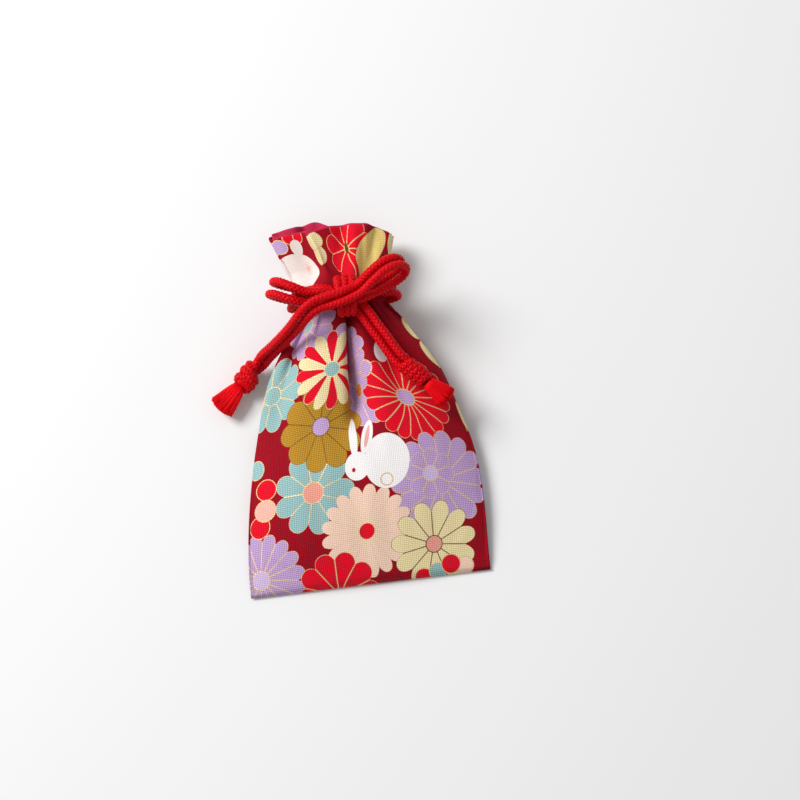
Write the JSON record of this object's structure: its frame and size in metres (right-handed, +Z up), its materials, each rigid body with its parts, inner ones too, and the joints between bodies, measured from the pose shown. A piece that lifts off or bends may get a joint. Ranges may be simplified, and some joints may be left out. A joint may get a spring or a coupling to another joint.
{
  "type": "drawstring amulet pouch",
  "caption": "Small printed cotton drawstring pouch with a plain lining, gathered at the neck and tied shut with doubled braided cords in a bow whose tails end in knots and frayed tassels",
  "frame": {"origin": "centre of the bag's footprint on the surface that it lies on, cords left out", "axes": "+X across the pouch to its right as seen from the front, +Y from the bottom fold to the mouth, +Z up out of its front"},
  "size_m": [0.0691, 0.0962, 0.0261],
  "materials": {
    "printed_cotton": "plain-woven cotton with a flower and rabbit print and thin gold outlines",
    "lining_cotton": "plain cerise cotton",
    "braided_cord": "braided red rayon cord with a soft gloss"
  },
  "bodies": {
    "root": {"outer_bag": "printed_cotton", "lining_bag": "lining_cotton", "drawcord_left": "braided_cord", "drawcord_right": "braided_cord", "bow_knot": "braided_cord", "bow_loop_left_upper": "braided_cord", "bow_loop_left_lower": "braided_cord", "bow_loop_right_upper": "braided_cord", "bow_loop_right_lower": "braided_cord", "tail_left_upper": "braided_cord", "tail_left_lower": "braided_cord", "tail_right_upper": "braided_cord", "tail_right_lower": "braided_cord", "end_knot_left": "braided_cord", "end_knot_right": "braided_cord", "tassel_left": "braided_cord", "tassel_right": "braided_cord"}
  },
  "joints": []
}
